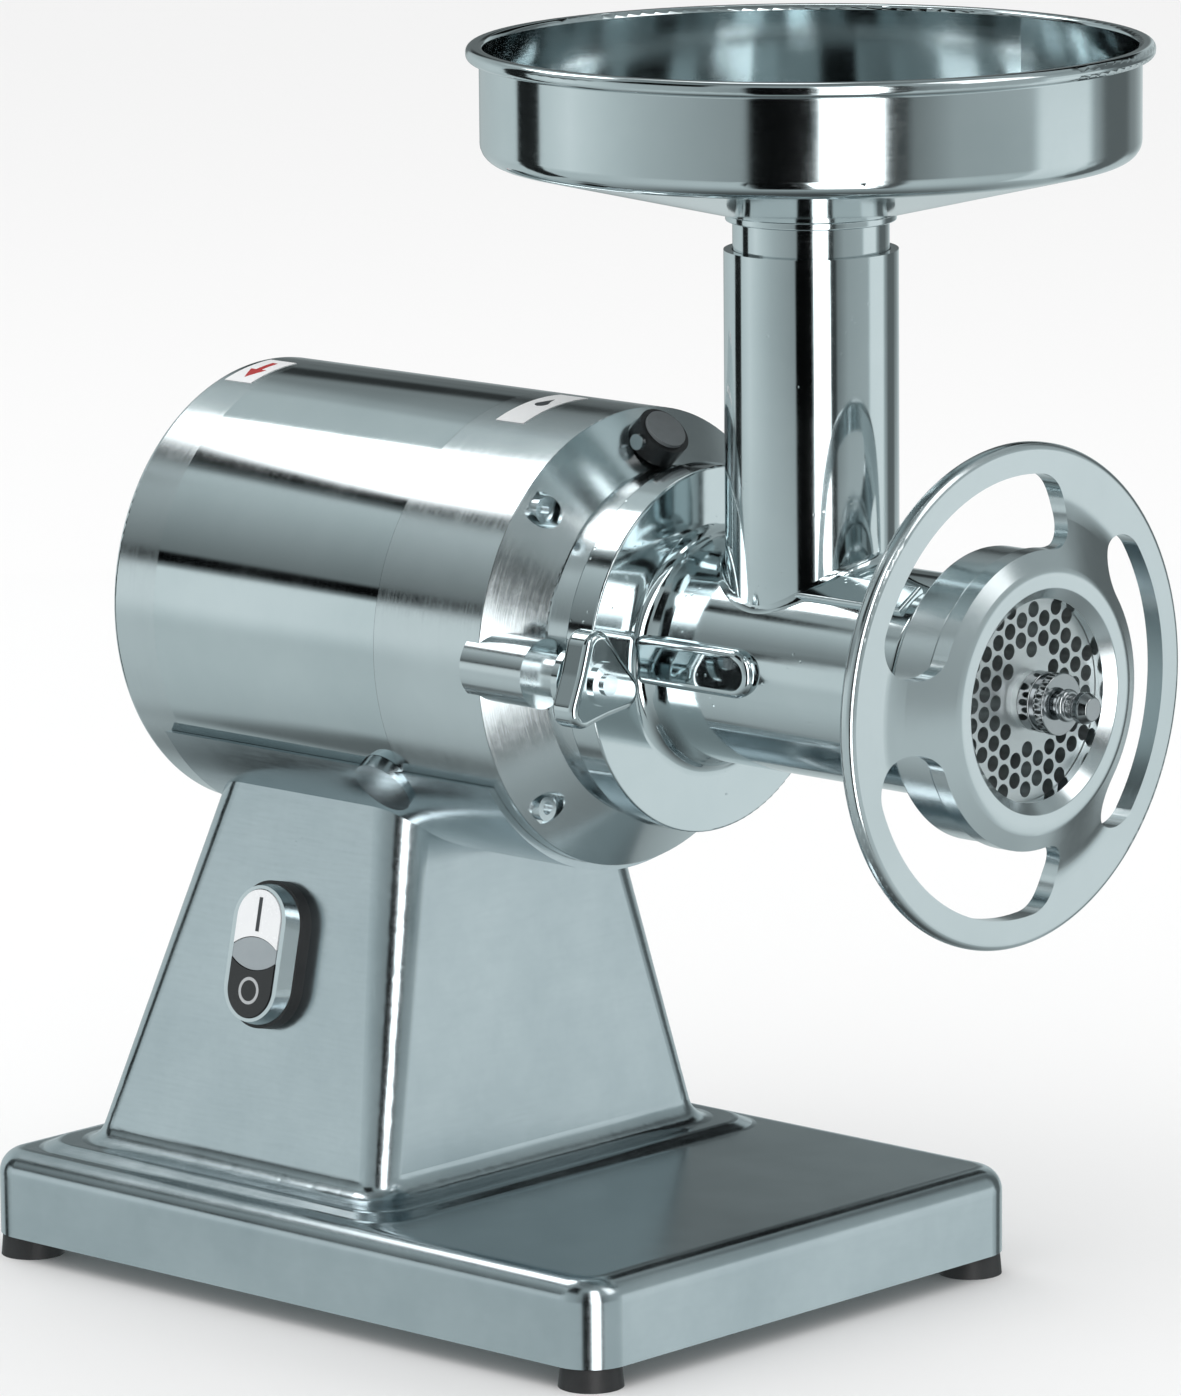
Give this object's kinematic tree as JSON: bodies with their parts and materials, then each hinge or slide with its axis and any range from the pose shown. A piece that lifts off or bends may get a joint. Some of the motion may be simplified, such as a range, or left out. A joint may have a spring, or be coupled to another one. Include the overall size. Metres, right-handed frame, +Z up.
{
  "type": "electric meat grinder",
  "caption": "Countertop electric meat grinder: motor drum on a pedestal base, feed tray over a vertical neck, and a perforated mouth plate held by a handwheel ring nut.",
  "frame": {"origin": "middle of the outer box, at the floor", "axes": "+Z up, mouth towards -Y, push buttons and clamp knob on the -X side"},
  "size_m": [0.2496, 0.4726, 0.4828],
  "materials": {
    "bezel_chrome": "satin chrome plated",
    "black_plastic": "black plastic, semi gloss",
    "black_rubber": "matte black rubber",
    "cap_grey": "grey sintered breather disc",
    "cast_aluminium": "polished cast aluminium with a light satin sheen",
    "copper_winding": "varnished copper wire",
    "dark_grey_plastic": "dark grey moulded plastic",
    "gear_steel": "oiled machined steel",
    "grey_plastic": "translucent grey plastic lens",
    "ground_steel": "ground steel, matte",
    "label_film": "printed white film",
    "laminated_steel": "stacked electrical steel",
    "mark_dark": "dark printed mark",
    "mark_pale": "pale printed mark",
    "polished_steel": "mirror polished stainless steel",
    "satin_steel": "satin stainless steel",
    "turned_aluminium": "turned aluminium with fine circular grain",
    "white_plastic": "white plastic, semi gloss",
    "zinc_steel": "zinc plated steel"
  },
  "bodies": {
    "base": {"base_casting": "cast_aluminium", "bottom_plate": "satin_steel", "bottom_plate_screws": "zinc_steel", "cable_gland": "black_plastic", "clamp_spacer": "satin_steel", "clamp_stud": "zinc_steel", "contact_block": "dark_grey_plastic", "contactor": "dark_grey_plastic", "direction_label": "label_film", "end_shield": "turned_aluminium", "foot_front_left": "black_rubber", "foot_front_right": "black_rubber", "foot_rear_left": "black_rubber", "foot_rear_right": "black_rubber", "foot_screws": "zinc_steel", "gear_case": "turned_aluminium", "gear_case_screws": "zinc_steel", "gland_locknut": "black_plastic", "head_casting": "polished_steel", "layshaft_bearings": "gear_steel", "motor_bearings": "gear_steel", "motor_bolts": "zinc_steel", "motor_drum": "polished_steel", "mouth_plate": "ground_steel", "oil_label": "label_film", "oil_plug_body": "black_plastic", "oil_plug_cap": "cap_grey", "oil_plug_screw": "zinc_steel", "output_bearing": "gear_steel", "plate_key": "gear_steel", "rear_cover": "turned_aluminium", "rear_cover_screws": "zinc_steel", "run_capacitor": "dark_grey_plastic", "shaft_seal": "black_rubber", "stator_core": "laminated_steel", "stator_windings": "copper_winding", "switch_bezel": "bezel_chrome", "switch_gasket": "black_rubber", "switch_lens": "grey_plastic", "switch_nut": "zinc_steel"},
    "handwheel": {"handwheel": "satin_steel"},
    "clamp_knob": {"clamp_knob": "polished_steel"},
    "hopper": {"hopper": "polished_steel"},
    "start_button": {"start_button": "white_plastic", "start_mark": "mark_dark"},
    "stop_button": {"stop_button": "black_plastic", "stop_mark": "mark_pale"},
    "auger": {"auger": "cast_aluminium", "front_pin": "polished_steel", "knife": "ground_steel"},
    "output": {"output_gear": "gear_steel", "output_shaft": "gear_steel"},
    "layshaft": {"lay_gear": "gear_steel", "lay_pinion": "gear_steel", "layshaft": "gear_steel"},
    "rotor": {"motor_pinion": "gear_steel", "motor_shaft": "gear_steel", "rotor_core": "laminated_steel"}
  },
  "joints": [
    {"name": "handwheel_turn", "type": "hinge", "parent": "base", "child": "handwheel", "pos_m": [0, -0.20195, 0.2535], "axis": [0, -1, 0], "range_deg": [0, 360]},
    {"name": "clamp_knob_turn", "type": "hinge", "parent": "base", "child": "clamp_knob", "pos_m": [-0.077, -0.06135, 0.2535], "axis": [0, -1, 0], "range_deg": [0, 360]},
    {"name": "hopper_lift", "type": "slide", "parent": "base", "child": "hopper", "axis": [0, 0, 1], "range_m": [0, 0.03]},
    {"name": "start_press", "type": "slide", "parent": "base", "child": "start_button", "axis": [0.976, 0, -0.2176], "range_m": [0, 0.0025], "stiffness_N_per_m": 400, "springref_m": -0.002},
    {"name": "stop_press", "type": "slide", "parent": "base", "child": "stop_button", "axis": [0.976, 0, -0.2176], "range_m": [0, 0.0025], "stiffness_N_per_m": 400, "springref_m": -0.002},
    {"name": "rotor_spin", "type": "hinge", "parent": "base", "child": "rotor", "pos_m": [0, 0.09665, 0.2535], "axis": [0, 1, 0], "continuous": true},
    {"name": "layshaft_spin", "type": "hinge", "parent": "base", "child": "layshaft", "pos_m": [0, 0.00665, 0.2935], "axis": [0, 1, 0], "continuous": true},
    {"name": "output_spin", "type": "hinge", "parent": "base", "child": "output", "pos_m": [0, -0.01335, 0.2535], "axis": [0, 1, 0], "continuous": true},
    {"name": "auger_spin", "type": "hinge", "parent": "base", "child": "auger", "pos_m": [0, -0.10335, 0.2535], "axis": [0, 1, 0], "continuous": true}
  ],
  "couplings": [
    {"joint": "layshaft_spin", "follows": "rotor_spin", "ratio": -0.33333},
    {"joint": "output_spin", "follows": "rotor_spin", "ratio": 0.11111},
    {"joint": "auger_spin", "follows": "rotor_spin", "ratio": 0.11111}
  ]
}
